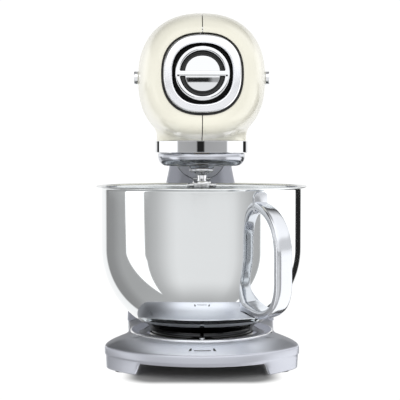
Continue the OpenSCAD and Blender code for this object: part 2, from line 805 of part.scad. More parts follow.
// Everything inside the bowl's outer surface.
module bowl_solid() rotate_extrude()
    polygon(concat([[0, bowl_low]], bowl_side(0), [[bowl_r, rim_z], [0, rim_z]]));

module bowl_shell() color(chrome) at_bowl() rotate_extrude() polygon(concat(
    [[0, bowl_low], [64, bowl_low]], bowl_side(0),
    [[bowl_r, rim_z - 4], [bowl_r + 1, rim_z - 2.4], [rim_r - 0.6, rim_z - 1.6], [rim_r, rim_z - 0.8],
     [rim_r - 0.5, rim_z], [bowl_r + 0.4, rim_z - 0.6], [bowl_r - bowl_t, rim_z - 3.4]],
    [for (k = [0 : 10]) bowl_arc(k * 5.2, bowl_t)], [[62, bowl_low + bowl_t], [0, bowl_low + bowl_t]]));

module bowl_foot() color(steel) at_bowl() {
    rotate_extrude() polygon([[50, 25.4], [foot_r, 25.4], [foot_r, 36], [61, bowl_low], [49, bowl_low],
                              [50, 38]]);
    for (k = [0 : lugs - 1]) translate([0, 0, 25.6]) linear_extrude(2.6) difference() {
        sector(58, -90 - unlock_turn + k * 120, lug_angle);
        circle(foot_r);
    }
}

// Strap section: thickness along X, width along Y.
module strap_2d() {
    square([handle_t, handle_w - 2 * strap_c], center = true);
    square([handle_t - 2 * strap_c, handle_w], center = true);
    for (sx = [-1, 1], sy = [-1, 1])
        translate([sx * (handle_t / 2 - strap_c), sy * (handle_w / 2 - strap_c)]) circle(strap_c);
}

module strap_bend(x, z, r, from) translate([x, 0, z]) rotate([90, 0, 0]) rotate(from)
    rotate_extrude(angle = 90) translate([r, 0]) strap_2d();

// A cast strap that leaves the wall below the rim, drops straight and comes back in at the curve of the bowl.
module bowl_handle() color(chrome) at_bowl() rotate(handle_turn - 90) difference() {
    grip_x = handle_out - handle_t / 2;
    union() {
        translate([grip_x, 0, grip_low]) linear_extrude(grip_high - grip_low) strap_2d();
        strap_bend(grip_x - bend_high, grip_high, bend_high, 0);
        strap_bend(grip_x - bend_low, grip_low, bend_low, -90);
        translate([90, 0, grip_high + bend_high]) rotate([0, 90, 0])
            linear_extrude(grip_x - bend_high - 90) strap_2d();
        translate([70, 0, grip_low - bend_low]) rotate([0, 90, 0])
            linear_extrude(grip_x - bend_low - 70) strap_2d();
        box([95, -8.5, 158], [bowl_r + 2, 8.5, 178]);
        intersection() {
            box([70, -9, 56], [100, 9, 74]);
            translate([0, 0, 1]) rotate_extrude()
                polygon(concat([[0, bowl_low]], bowl_side(-2.4), [[0, rim_z]]));
        }
    }
    bowl_solid();
}

// ---- one line per node ----

base_casting();
base_cover();
base_cover_screws();
rubber_feet();
clamp_plate();
clamp_screws();
column();
column_screws();
hinge_pin();
hinge_bushes();
cord_gland();
power_board();
latch_lever();
latch_pin();
release_button();
button_spring();
head_shell_left();
head_shell_right();
shell_screws();
head_frame();
bezel_ring();
bezel_gasket();
side_trims();
neck_band();
gearbox();
gearbox_cover();
ring_gear();
shaft_bearings();
hub_bush();
motor_stator();
motor_bracket_front();
motor_bracket_rear();
motor_bearings();
brush_holders();
speed_plate();
speed_switch();
speed_knob();
rotor_shaft();
rotor_core();
commutator();
cooling_fan();
drive_shaft();
worm_wheel();
crown_gear();
planet_carrier();
planet_bushes();
beater_shaft();
planet_pinion();
drip_washer();
beater_pin();
flat_beater();
hub_shaft();
hub_pinion();
hub_cap();
hub_cap_ring();
bowl_shell();
bowl_foot();
bowl_handle();
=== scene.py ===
"""Tilt-head stand mixer: the visible surfaces, materials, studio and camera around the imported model.

Lengths in the tables below are in millimetres, with Y counted from the bowl's axis.
"""

import json
from math import cos, pi, radians, sin

import bmesh
import bpy
import numpy as np
from mathutils import Matrix, Vector


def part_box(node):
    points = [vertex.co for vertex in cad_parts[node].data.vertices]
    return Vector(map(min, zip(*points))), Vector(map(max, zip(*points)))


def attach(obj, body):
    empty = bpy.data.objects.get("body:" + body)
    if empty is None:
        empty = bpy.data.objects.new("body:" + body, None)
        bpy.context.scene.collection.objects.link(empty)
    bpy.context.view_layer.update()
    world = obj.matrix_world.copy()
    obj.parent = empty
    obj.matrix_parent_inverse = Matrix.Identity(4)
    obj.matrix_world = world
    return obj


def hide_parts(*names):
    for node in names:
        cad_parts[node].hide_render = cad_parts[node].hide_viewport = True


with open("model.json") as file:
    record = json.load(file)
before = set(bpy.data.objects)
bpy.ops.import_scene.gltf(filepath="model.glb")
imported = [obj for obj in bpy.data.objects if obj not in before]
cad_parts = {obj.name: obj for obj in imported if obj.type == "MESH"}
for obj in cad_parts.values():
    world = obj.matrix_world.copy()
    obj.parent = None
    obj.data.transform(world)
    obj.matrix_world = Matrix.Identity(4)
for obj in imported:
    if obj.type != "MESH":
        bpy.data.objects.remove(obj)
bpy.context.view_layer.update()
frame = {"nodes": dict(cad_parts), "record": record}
nodes = frame["nodes"]
scene = bpy.context.scene

MM = 0.001
_lo, _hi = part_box("bowl_shell")
AXIS_Y = (_lo.y + _hi.y) / 2


# ---------------------------------------------------------------- small tools


def row(points):
    """Millimetres about the bowl's axis, to metres in the row frame."""
    p = np.array(points, float) * MM
    p[..., 1] += AXIS_Y
    return p


def smooth_step(t):
    t = np.clip(t, 0, 1)
    return t * t * (3 - 2 * t)


def pchip(x, y, xs):
    """Monotone cubic through the points (x, y), read at xs."""
    x, y, xs = (np.asarray(a, float) for a in (x, y, xs))
    h, d = np.diff(x), np.diff(y) / np.diff(x)
    m = np.zeros(len(x))
    for i in range(1, len(x) - 1):
        if d[i - 1] * d[i] > 0:
            w1, w2 = 2 * h[i] + h[i - 1], h[i] + 2 * h[i - 1]
            m[i] = (w1 + w2) / (w1 / d[i - 1] + w2 / d[i])
    m[0], m[-1] = d[0], d[-1]
    i = np.clip(np.searchsorted(x, xs) - 1, 0, len(x) - 2)
    t = (xs - x[i]) / h[i]
    return (
        y[i] * (1 + 2 * t) * (1 - t) ** 2
        + m[i] * h[i] * t * (1 - t) ** 2
        + y[i + 1] * t * t * (3 - 2 * t)
        + m[i + 1] * h[i] * t * t * (t - 1)
    )


def soften(points, radius, steps=4, closed=False):
    """A polyline with its corners rounded. radius is one number, or one for each point."""
    p = [np.array(q, float) for q in points]
    n = len(p)
    r = [radius] * n if np.isscalar(radius) else list(radius)
    out = []
    for i in range(n):
        ends = not closed and i in (0, n - 1)
        if ends or r[i] <= 0:
            out.append(p[i])
            continue
        a, b = p[i - 1] - p[i], p[(i + 1) % n] - p[i]
        la, lb = np.linalg.norm(a), np.linalg.norm(b)
        cut = min(r[i], 0.48 * la, 0.48 * lb)
        q0, q2 = p[i] + a / la * cut, p[i] + b / lb * cut
        for k in range(steps + 1):
            t = k / steps
            out.append((1 - t) ** 2 * q0 + 2 * t * (1 - t) * p[i] + t * t * q2)
    return np.array(out)


def flowing(points, count, closed=True):
    """A smooth curve through the points (Catmull-Rom), with count points per span."""
    p = np.array(points, float)
    n = len(p)
    spans = n if closed else n - 1
    out = []
    for i in range(spans):
        if closed:
            a, b, c, d = p[i - 1], p[i], p[(i + 1) % n], p[(i + 2) % n]
        else:
            a, b, c, d = p[max(i - 1, 0)], p[i], p[i + 1], p[min(i + 2, n - 1)]
        for k in range(count):
            t = k / count
            bend = (2 * a - 5 * b + 4 * c - d) * t * t
            twist = (3 * b - a - 3 * c + d) * t**3
            out.append(0.5 * (2 * b + (c - a) * t + bend + twist))
    if not closed:
        out.append(p[-1])
    return np.array(out)


def run_length(points):
    """Distance along a polyline, at each of its points."""
    return np.concatenate([[0], np.cumsum(np.hypot(*np.diff(points, axis=0).T))])


def squircle(half, n, count):
    """A superellipse outline, counter-clockwise from +x."""
    a = np.linspace(0, 2 * pi, count, endpoint=False)
    c, s = np.cos(a), np.sin(a)
    k = (np.abs(c) ** n + np.abs(s) ** n) ** (-1 / n)
    return np.stack([half * k * c, half * k * s], 1)


# ---------------------------------------------------------------- making pieces


class Shape:
    """Vertices and faces gathered into one piece, in millimetres."""

    def __init__(self):
        self.verts, self.faces = [], []

    def add(self, verts, faces):
        k = len(self.verts)
        self.verts.extend(np.asarray(verts, float).reshape(-1, 3).tolist())
        self.faces.extend([tuple(i + k for i in f) for f in faces])
        return self

    def grid(self, pts, wrap=False):
        """A sheet of quads over an array of points, of size [u][v][3]; wrap closes it along v."""
        pts = np.asarray(pts, float)
        nu, nv = pts.shape[:2]
        faces = []
        for i in range(nu - 1):
            for j in range(nv if wrap else nv - 1):
                a, b = i * nv, (i + 1) * nv
                k = (j + 1) % nv
                faces.append((a + j, b + j, b + k, a + k))
        return self.add(pts, faces)

    def lathe(self, profile, segments, axis="z", centre=(0, 0)):
        """Turns a profile of (radius, height) about an upright axis, or about an axis towards -Y."""
        p = np.asarray(profile, float)
        a = np.linspace(0, 2 * pi, segments, endpoint=False)
        r, h = p[:, 0][:, None], np.repeat(p[:, 1][:, None], segments, 1)
        u, v = r * np.cos(a), r * np.sin(a)
        if axis == "z":
            pts = np.stack([u + centre[0], v + centre[1], h], -1)
        else:
            pts = np.stack([u + centre[0], -h, v + centre[1]], -1)
        return self.grid(pts, wrap=True)


def solid_through(rings):
    """A closed solid through a stack of rings."""
    end = tuple(range(len(rings[0])))
    shape = Shape().grid(rings, wrap=True)
    shape.add(rings[0], [end[::-1]])
    return shape.add(rings[-1], [end])


def shape_mesh(name, shape):
    mesh = bpy.data.meshes.new(name)
    mesh.from_pydata(row(shape.verts).tolist(), [], shape.faces)
    return mesh


def weld(mesh):
    """Joins what touches and turns every face outward."""
    bm = bmesh.new()
    bm.from_mesh(mesh)
    bmesh.ops.remove_doubles(bm, verts=bm.verts, dist=0.00001)
    bmesh.ops.dissolve_degenerate(bm, edges=bm.edges, dist=0.000005)
    bmesh.ops.recalc_face_normals(bm, faces=bm.faces)
    bm.to_mesh(mesh)
    bm.free()


def shade_smooth(mesh, angle):
    """Smooth shading, but for edges sharper than the angle."""
    mesh.polygons.foreach_set("use_smooth", [True] * len(mesh.polygons))
    mesh.set_sharp_from_angle(angle=radians(angle))


def place(name, shape, material, body, stands_for=(), angle=35):
    """Makes the piece, welds and smooths it, gives it its material and lets it ride on its body."""
    return dress(shape_mesh(name, shape), name, material, body, stands_for, angle)


def dress(mesh, name, material, body, stands_for=(), angle=35):
    """Turns a mesh into a finished piece; the piece can stand for CAD nodes."""
    weld(mesh)
    obj = bpy.data.objects.new(name, mesh)
    scene.collection.objects.link(obj)
    for m in material if isinstance(material, (list, tuple)) else [material]:
        mesh.materials.append(m)
    shade_smooth(mesh, angle)
    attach(obj, body)
    if stands_for:
        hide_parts(*stands_for)
    return obj


def plate_mesh(loops, thickness, bevel, matrix, steps=3):
    """A flat plate with rounded edges, from closed outlines; the inner outlines become holes."""
    curve = bpy.data.curves.new("plate", "CURVE")
    curve.dimensions = "2D"
    curve.fill_mode = "BOTH"
    curve.extrude = (thickness / 2 - bevel) * MM
    curve.bevel_depth = bevel * MM
    curve.bevel_resolution = steps
    curve.offset = -bevel * MM
    for loop in loops:
        spline = curve.splines.new("POLY")
        spline.points.add(len(loop) - 1)
        for point, q in zip(spline.points, loop):
            point.co = (q[0] * MM, q[1] * MM, 0, 1)
        spline.use_cyclic_u = True
    holder = bpy.data.objects.new("plate", curve)
    scene.collection.objects.link(holder)
    graph = bpy.context.evaluated_depsgraph_get()
    graph.update()
    mesh = bpy.data.meshes.new_from_object(holder.evaluated_get(graph))
    bpy.data.objects.remove(holder)
    bpy.data.curves.remove(curve)
    mesh.transform(matrix)
    return mesh


def facing(direction, at):
    """The matrix that lays a plate's outline in a plane: front is X-Z, side is Y-Z and top is X-Y."""
    x, y, z = {
        "front": ((1, 0, 0), (0, 0, 1), (0, -1, 0)),
        "side": ((0, 1, 0), (0, 0, 1), (1, 0, 0)),
        "top": ((1, 0, 0), (0, 1, 0), (0, 0, 1)),
    }[direction]
    m = Matrix((x, y, z)).transposed().to_4x4()
    m.translation = Vector(row([at])[0])
    return m


def join(meshes):
    """One mesh out of several."""
    out = bmesh.new()
    for m in meshes:
        out.from_mesh(m)
    mesh = bpy.data.meshes.new("joined")
    out.to_mesh(mesh)
    out.free()
    return mesh


def apply_modifiers(obj):
    """Bakes the object's modifiers into its mesh."""
    graph = bpy.context.evaluated_depsgraph_get()
    graph.update()
    mesh = bpy.data.meshes.new_from_object(obj.evaluated_get(graph))
    obj.modifiers.clear()
    obj.data = mesh


def bevel_edges(obj, width, angle, segments):
    """Rounds the edges sharper than the angle, by a width in millimetres."""
    mod = obj.modifiers.new("bevel", "BEVEL")
    mod.width = width * MM
    mod.segments = segments
    mod.limit_method = "ANGLE"
    mod.angle_limit = radians(angle)
    mod.use_clamp_overlap = True
    mod.harden_normals = False


# ---------------------------------------------------------------- materials


def srgb(*c):
    """A screen colour as linear RGBA."""
    return tuple((x / 12.92 if x <= 0.04045 else ((x + 0.055) / 1.055) ** 2.4) for x in c) + (1.0,)


class Graph:
    """Wires the shader nodes of one tree. A value is a number, a tuple or the output of another node."""

    def __init__(self, tree):
        self.tree = tree

    def put(self, socket, value):
        if isinstance(value, bpy.types.NodeSocket):
            self.tree.links.new(value, socket)
        else:
            socket.default_value = value

    def node(self, kind, inputs=None, **settings):
        made = self.tree.nodes.new("ShaderNode" + kind)
        for name, value in settings.items():
            setattr(made, name, value)
        for name, value in (inputs or {}).items():
            self.put(made.inputs[name], value)
        return made

    def math(self, operation, a, b=0.0):
        return self.node("Math", {0: a, 1: b}, operation=operation).outputs[0]

    def vector(self, operation, a, b=(0, 0, 0)):
        return self.node("VectorMath", {0: a, 1: b}, operation=operation).outputs[0]

    def span(self, value, a0, a1, b0=0.0, b1=1.0, smooth=True):
        """The value's place between a0 and a1, told as a number between b0 and b1."""
        ends = {"Value": value, "From Min": a0, "From Max": a1, "To Min": b0, "To Max": b1}
        kind = "SMOOTHSTEP" if smooth else "LINEAR"
        return self.node("MapRange", ends, interpolation_type=kind).outputs["Result"]

    def blend(self, share, a, b):
        """Slides from a, at a share of 0, to b."""
        rest = self.math("MULTIPLY", a, self.math("SUBTRACT", 1.0, share))
        return self.math("ADD", rest, self.math("MULTIPLY", b, share))


def finish(name, colour, metallic=0.0, rough=0.4, coat=0.0, vary=0.03, tint=0.02, scale=60.0, bump=0.0,
           bump_scale=500.0, stretch=(1, 1, 1)):
    """A Principled finish whose roughness, tone and fine relief vary over the surface."""
    m = bpy.data.materials.new(name)
    m.use_nodes = True
    g = Graph(m.node_tree)
    p = m.node_tree.nodes["Principled BSDF"]
    where = g.node("TexCoord")
    grid = g.node("Mapping", {"Vector": where.outputs["Object"], "Scale": stretch})
    cloud = g.node("TexNoise", {"Vector": grid.outputs["Vector"], "Scale": scale, "Detail": 4})
    gloss = g.span(cloud.outputs["Fac"], 0, 1, max(rough - vary, 0.01), rough + vary, smooth=False)
    darker = tuple(x * (1 - tint) for x in colour[:3]) + (1,)
    paler = tuple(min(x * (1 + tint), 1) for x in colour[:3]) + (1,)
    tone = g.node("Mix", {0: cloud.outputs["Fac"], 6: darker, 7: paler}, data_type="RGBA")
    for socket, value in (("Metallic", metallic), ("Coat Weight", coat), ("Coat Roughness", 0.04),
                          ("Roughness", gloss), ("Base Color", tone.outputs[2])):
        g.put(p.inputs[socket], value)
    if bump:
        fine = g.node("TexNoise", {"Vector": grid.outputs["Vector"], "Scale": bump_scale, "Detail": 2})
        relief = g.node("Bump", {"Strength": bump, "Distance": 0.0003, "Height": fine.outputs["Fac"]})
        g.put(p.inputs["Normal"], relief.outputs["Normal"])
    return m


def paint_light_and_shade_along(material, axis, start, end, first, last):
    """Paints light and shade into a finish: scales its tone along one axis, by first up to the start, and
    by last beyond the end.
    """
    g = Graph(material.node_tree)
    tone = material.node_tree.nodes["Principled BSDF"].inputs["Base Color"]
    where = g.node("TexCoord")
    xyz = g.node("SeparateXYZ", {0: where.outputs["Object"]})
    share = g.span(g.math("ABSOLUTE", xyz.outputs[axis]), start, end, first, last)
    scaled = g.node("VectorMath", {0: tone.links[0].from_socket, "Scale": share}, operation="SCALE")
    g.put(tone, scaled.outputs[0])


CREAM = finish("cream_enamel", srgb(0.945, 0.935, 0.875), rough=0.30, coat=0.35, vary=0.03, tint=0.01,
               bump=0.02, bump_scale=260)
# Painted light: the cream is lighter low on the neck and chin, where shade falls, and a little darker over
# the head.
paint_light_and_shade_along(CREAM, "Z", 0.236, 0.262, 1.16, 0.97)
SILVER = finish("silver_paint", srgb(0.75, 0.76, 0.795), metallic=0.85, rough=0.40, coat=0.2, vary=0.03,
                tint=0.02, scale=900, bump=0.03, bump_scale=2500)
CHROME = finish("chrome_plate", srgb(0.93, 0.935, 0.945), metallic=1.0, rough=0.045, vary=0.02, tint=0.01)
BAND = finish("band_chrome", srgb(0.93, 0.935, 0.945), metallic=1.0, rough=0.014, vary=0.004, tint=0.01)
# A darker, less metallic copy of the silver paint for the column: painted shade, where it stands behind the
# bowl under the head.
SHADED_COLUMN = finish("column_paint_shaded", srgb(0.60, 0.61, 0.65), metallic=0.3, rough=0.45, coat=0.1, vary=0.03,
                tint=0.02, scale=900, bump=0.03, bump_scale=2500)
SATIN = finish("satin_chrome", srgb(0.965, 0.97, 0.985), metallic=1.0, rough=0.22, vary=0.03, tint=0.01,
               bump=0.02, bump_scale=1500)
BOWL = finish("polished_steel", srgb(0.91, 0.92, 0.925), metallic=1.0, rough=0.06, vary=0.025, tint=0.012,
              scale=24, bump=0.006, bump_scale=160, stretch=(1, 1, 3))
HANDLE = finish("handle_steel", srgb(0.83, 0.84, 0.86), metallic=1.0, rough=0.15, vary=0.03, tint=0.01)
PAN = finish("pan_finish", srgb(0.76, 0.77, 0.80), metallic=1.0, rough=0.18, vary=0.04, tint=0.02,
             bump=0.02, bump_scale=900)
BEATER = finish("beater_finish", srgb(0.84, 0.845, 0.85), metallic=1.0, rough=0.18, vary=0.05, tint=0.02,
                bump=0.02, bump_scale=900)
STEEL = finish("machined_steel", srgb(0.72, 0.73, 0.74), metallic=1.0, rough=0.28, vary=0.06, tint=0.03,
               bump=0.03, bump_scale=1200)
DARK_STEEL = finish("lamination_steel", srgb(0.30, 0.31, 0.33), metallic=0.9, rough=0.45, vary=0.08,
                    tint=0.05, bump=0.05, bump_scale=1500, stretch=(1, 8, 1))
# Near-black steel for the bowl's foot: painted shade and dark reflection in the gap between the bowl and
# the clamp plate.
SHADED_COLLAR = finish("collar_painted_shade", srgb(0.22, 0.22, 0.22), metallic=1.0, rough=0.12, vary=0.03, tint=0.02)
# A paler, more metallic copy of the silver paint for the faces that look up: painted light, with a painted
# highlight in the middle and painted shade towards the sides.
DECK_LIGHT_AND_SHADE = finish("deck_paint_lit_and_shaded", srgb(0.88, 0.89, 0.92), metallic=1.0, rough=0.50, vary=0.03, tint=0.02,
              scale=900, bump=0.03, bump_scale=2500)
paint_light_and_shade_along(DECK_LIGHT_AND_SHADE, "X", 0.030, 0.078, 1.22, 0.58)
CAST = finish("cast_aluminium", srgb(0.66, 0.67, 0.68), metallic=0.9, rough=0.55, vary=0.08, tint=0.04,
              bump=0.12, bump_scale=900)
BRASS = finish("sintered_brass", srgb(0.78, 0.62, 0.30), metallic=1.0, rough=0.32, vary=0.06, tint=0.04)
COPPER = finish("commutator_copper", srgb(0.75, 0.45, 0.28), metallic=1.0, rough=0.35, vary=0.06, tint=0.05)
BLACK = finish("black_plastic", srgb(0.045, 0.045, 0.05), rough=0.38, vary=0.06, tint=0.1, bump=0.05,
               bump_scale=1600)
GLOSS_BLACK = finish("gloss_black", srgb(0.03, 0.03, 0.033), rough=0.12, vary=0.03, tint=0.1)
RUBBER = finish("rubber", srgb(0.06, 0.06, 0.06), rough=0.75, vary=0.08, tint=0.15, bump=0.08,
                bump_scale=1400)
BOARD = finish("circuit_board", srgb(0.07, 0.26, 0.13), rough=0.4, vary=0.1, tint=0.15, scale=400)

SLOT_LOOKS = {
    "silver_paint": SILVER, "cream_paint": CREAM, "chrome": CHROME, "polished_steel": BOWL,
    "steel": STEEL, "dark_steel": DARK_STEEL, "cast_aluminium": CAST, "pan_finish": PAN,
    "beater_finish": BEATER, "brass": BRASS, "copper": COPPER, "black_plastic": BLACK,
    "rubber": RUBBER, "board": BOARD,
}
for part in frame["record"]["subparts"]:
    carried = nodes[part["node"]]
    look = SLOT_LOOKS[part["material_slot"]]
    if part["node"] == "head_frame":
        look = SILVER
    carried.data.materials.clear()
    carried.data.materials.append(look)


# ---------------------------------------------------------------- head shells

SIDES = ((-1, "left"), (1, "right"))
HEAD_Z, HUB_Z = 295, 292
HEAD_HALF, TAIL_START, TAIL_LENGTH = 67.0, 178, 105.9
# The neck is formed down to NECK_ROOT and trimmed at NECK_END, where the chrome band takes over.
NECK_R, NECK_TOP, NECK_END, NECK_ROOT = 47, 282, 229.6, 221
# The head's half-size along its length: a domed nose, a slow swell, a straight body and a round tail.
NOSE = [(-111.6, 39.3), (-111.0, 42.0), (-109.2, 45.6), (-105.5, 49.6), (-100, 53.0), (-92, 56.0),
        (-82, 58.4), (-70, 60.4), (-56, 62.2), (-38, 64.0), (-16, 65.6), (10, 66.6), (40, HEAD_HALF),
        (90, HEAD_HALF), (140, HEAD_HALF), (TAIL_START, HEAD_HALF)]
TAIL = [(TAIL_START + TAIL_LENGTH * sin(radians(t)), HEAD_HALF * cos(radians(t))) for t in range(9, 90, 9)]
TAIL_END = (TAIL_START + TAIL_LENGTH, 0.4)


def head_line():
    """Places along the head and its half-size there, closer together around the nose."""
    p = np.array(NOSE + TAIL + [TAIL_END], float)
    s = run_length(p)
    at = np.concatenate([np.linspace(0, 60, 46, endpoint=False), np.linspace(60, s[-1], 150)])
    return pchip(s, p[:, 0], at), pchip(s, p[:, 1], at)


def head_surface(y, half, theta):
    """The head's skin with the neck melted into it, found along rays from the head's axis."""
    w = smooth_step((half - 40) / 20)
    upper = 2.4 + (2.28 - 2.4) * w
    lower = 2.4 + (2.5 - 2.4) * w
    centre = HEAD_Z - 3 * (1 - smooth_step((y + 112) / 112))
    dx, dz = np.cos(theta)[None, :], np.sin(theta)[None, :]
    lo = np.zeros((len(y), len(theta)))
    hi = np.full_like(lo, 120.0)
    for _ in range(40):
        r = (lo + hi) / 2
        x, z = r * dx, r * dz
        n = np.where(z >= 0, upper[:, None], lower[:, None])
        head = (np.abs(x) ** n + np.abs(z) ** n) ** (1 / n) - half[:, None]
        neck = np.maximum(np.hypot(x, y[:, None]) - NECK_R, z + centre[:, None] - NECK_TOP)
        melt = 5 + 5 * smooth_step((-8 - y[:, None]) / 30)
        h = np.clip(0.5 + 0.5 * (neck - head) / melt, 0, 1)
        f = neck * (1 - h) + head * h - melt * h * (1 - h)
        f = np.maximum(f, NECK_ROOT - z - centre[:, None])
        inside = f < 0
        lo, hi = np.where(inside, r, lo), np.where(inside, hi, r)
    r = (lo + hi) / 2
    return np.stack([r * dx, np.repeat(y[:, None], len(theta), 1), centre[:, None] + r * dz], -1)


def head_shell(side, word):
    """One half of the painted head, open around the speed slot and under the neck."""
    y, half = head_line()
    theta = np.radians(np.linspace(90, -90, 97))
    pts = head_surface(y, half, theta)
    pts[..., 0] = np.maximum(pts[..., 0], 0.42)
    neck = np.hypot(pts[..., 0], pts[..., 1]) < 52
    pts[..., 2] = np.where(neck, np.maximum(pts[..., 2], NECK_END), pts[..., 2])
    pts[..., 0] *= side
    nu, nv = pts.shape[:2]
    flat = pts.reshape(-1, 3)
    faces = []
    for i in range(nu - 1):
        for j in range(nv - 1):
            f = (i * nv + j, (i + 1) * nv + j, (i + 1) * nv + j + 1, i * nv + j + 1)
            c = flat[list(f)].mean(0)
            if abs(c[0]) < 4.2 and 95 < c[1] < 169 and c[2] > HEAD_Z:
                continue
            if c[2] < NECK_END + 0.1 and np.hypot(c[0], c[1]) < 45.5:
                continue
            faces.append(f)
    shape = Shape().add(flat, faces)
    node = "head_shell_" + word
    obj = place("head_skin_" + word, shape, CREAM, "head", [node], angle=60)
    if sum(v.normal.x * side for v in obj.data.vertices) <= 0:
        obj.data.flip_normals()
    solid = obj.modifiers.new("wall", "SOLIDIFY")
    solid.thickness = 2.6 * MM
    solid.offset = -1
    bevel_edges(obj, 0.55, 55, 2)
    apply_modifiers(obj)
    shade_smooth(obj.data, 60)


for side, word in SIDES:
    head_shell(side, word)


# ---------------------------------------------------------------- front bezel and hub cap


def squircle_loft(profile, z, count=160, n_last=2.4):
    """Lofts squircles of (half-width, y) along the head's axis, from an exponent of 2.4 to the last one."""
    rings = []
    for (half, y), n in zip(profile, np.linspace(2.4, n_last, len(profile))):
        s = squircle(half, n, count)
        rings.append(np.stack([s[:, 0], np.full(count, float(y)), s[:, 1] + z], 1))
    return np.array(rings)


bezel_line = soften(
    [(37.0, -105), (37.0, -114.2), (35.8, -115.8), (29.6, -117.0), (28.3, -115.8), (28.3, -105)],
    [0, 0.8, 0.7, 0.9, 0.9, 0], steps=4)
bezel = Shape().grid(squircle_loft(bezel_line, HUB_Z), wrap=True)
place("bezel_trim", bezel, SATIN, "head", ["bezel_ring"], angle=50)

# A gloss black ring round the bezel's outer edge, standing for no part: painted shade and dark reflection
# where the shell meets the bezel.
shadow_ring_line = soften([(36.6, -108), (36.8, -112.8), (38.6, -112.6), (38.6, -106)], [0, 0.4, 0.6, 0], steps=4)
shadow_ring = Shape().grid(squircle_loft(shadow_ring_line, HUB_Z - 0.7), wrap=True)
place("bezel_shadow_ring", shadow_ring, GLOSS_BLACK, "head", angle=50)

well_line = soften([(28.2, -112), (28.2, -108.4), (26.0, -107.4), (22.7, -107.4)], [0, 0.8, 0.8, 0],
                   steps=3)
well = Shape().grid(squircle_loft(well_line, HUB_Z, 120, 2.0), wrap=True)
place("bezel_well", well, RUBBER, "head", ["bezel_gasket"], angle=50)

# The cap: a ring with a grip bar across it, in front of a shallow black channel and a bright disc.
CAP_OUT, CAP_IN, BAR = 25.6, 21.5, 2.45


def half_moon(sign):
    """The opening above or below the bar, with rounded corners where the bar meets the ring."""
    a0 = np.arcsin(BAR / CAP_IN)
    arc = [(CAP_IN * cos(a), CAP_IN * sin(a)) for a in np.linspace(a0, pi - a0, 60)]
    left = soften([arc[-3], arc[-1], (0, BAR)], 1.8, steps=6)
    right = soften([(0, BAR), arc[0], arc[2]], 1.8, steps=6)
    whole = np.concatenate([right[1:-1], arc[3:-3], left[1:-1]])
    whole[:, 1] *= sign
    return whole[::-1] if sign > 0 else whole


circle = [(CAP_OUT * cos(a), CAP_OUT * sin(a)) for a in np.linspace(0, 2 * pi, 144, endpoint=False)]
cap_ring = plate_mesh([circle, half_moon(1), half_moon(-1)], 3.8, 0.75,
                      facing("front", (0, -118.1, HUB_Z)), 4)
disc = squircle(16.6, 2.15, 120)
cap_disc = plate_mesh([disc], 2.6, 0.4, facing("front", (0, -117.0, HUB_Z)), 3)
dress(join([cap_ring, cap_disc]), "cap_grip", CHROME, "cap", ["hub_cap_ring"], angle=40)
channel = soften(
    [(0, 115.4), (15.8, 115.4), (16.6, 113.4), (21.2, 113.4), (22.2, 116.2), (25.0, 116.2), (25.3, 113.6),
     (22.3, 113.2), (22.3, 102.2), (21.35, 102.2), (21.35, 109.8), (0, 109.8)],
    [0, 0.6, 1.6, 1.6, 0.5, 0.4, 0.4, 0.4, 0.3, 0.3, 0.5, 0], steps=4)
cap_dish = Shape().lathe(channel, 144, "y", (0, HUB_Z))
place("cap_dish", cap_dish, GLOSS_BLACK, "cap", ["hub_cap"])


# ---------------------------------------------------------------- trims, neck band and speed control

for side, word in SIDES:
    ends = [(-20 - 6.6 * cos(a), 6.6 * sin(a)) for a in np.linspace(-pi / 2, pi / 2, 24)]
    far = [(70 + 6.6 * cos(a), 6.6 * sin(a)) for a in np.linspace(pi / 2, -pi / 2, 24)]
    strip = plate_mesh([ends + far], 4.4, 0.7, facing("side", (side * 67.3, 0, 294.2)), 3)
    dress(strip, "side_trim_" + word, CHROME, "head", ["side_trims"], angle=40)

band = soften([(43.9, 217.4), (48.4, 217.4), (48.4, 217.9), (48.4, 229.0), (48.4, 229.5), (43.9, 229.5)],
              [0, 0.35, 0, 0, 0.35, 0], steps=3)
place("neck_band_skin", Shape().lathe(band, 192), BAND, "head", ["neck_band"], angle=50)

SPEED_Y, KNOB_Y, HEAD_TOP = 132, 158, 362


def stadium(half_width, half_length, r):
    """An outline with four round corners."""
    pts = []
    for cx, cy, a0 in ((1, 1, 0), (-1, 1, 90), (-1, -1, 180), (1, -1, 270)):
        for a in np.radians(np.linspace(a0, a0 + 90, 12)):
            pts.append((cx * (half_width - r) + r * cos(a), cy * (half_length - r) + r * sin(a)))
    return pts


quadrant = plate_mesh([stadium(12, 46, 4), stadium(3, 36, 3)[::-1]], 2.2, 0.6,
                      facing("top", (0, SPEED_Y, HEAD_TOP - 0.3)), 3)
dress(quadrant, "speed_quadrant", CHROME, "head", ["speed_plate"], angle=40)
knob = soften(
    [(0, HEAD_TOP + 1.1), (9, HEAD_TOP + 1.1), (9, HEAD_TOP + 4.4), (5, HEAD_TOP + 6), (5, HEAD_TOP + 8),
     (8.6, HEAD_TOP + 10.5), (8.6, HEAD_TOP + 14.6), (4.5, HEAD_TOP + 15.9), (0, HEAD_TOP + 15.9)],
    [0, 0.5, 1.0, 1.0, 0.8, 1.6, 1.4, 1.5, 0], steps=5)
knob_shape = Shape().lathe(knob, 96, "z", (0, KNOB_Y))
stem = soften([(0, HEAD_TOP - 19.5), (1.9, HEAD_TOP - 19.5), (1.9, HEAD_TOP + 2), (0, HEAD_TOP + 2)],
              [0, 0.3, 0.3, 0], steps=2)
knob_shape.lathe(stem, 32, "z", (0, KNOB_Y))
place("speed_lever_knob", knob_shape, CHROME, "speed", ["speed_knob"], angle=40)


# ---------------------------------------------------------------- planetary pan, washer, shaft and beater

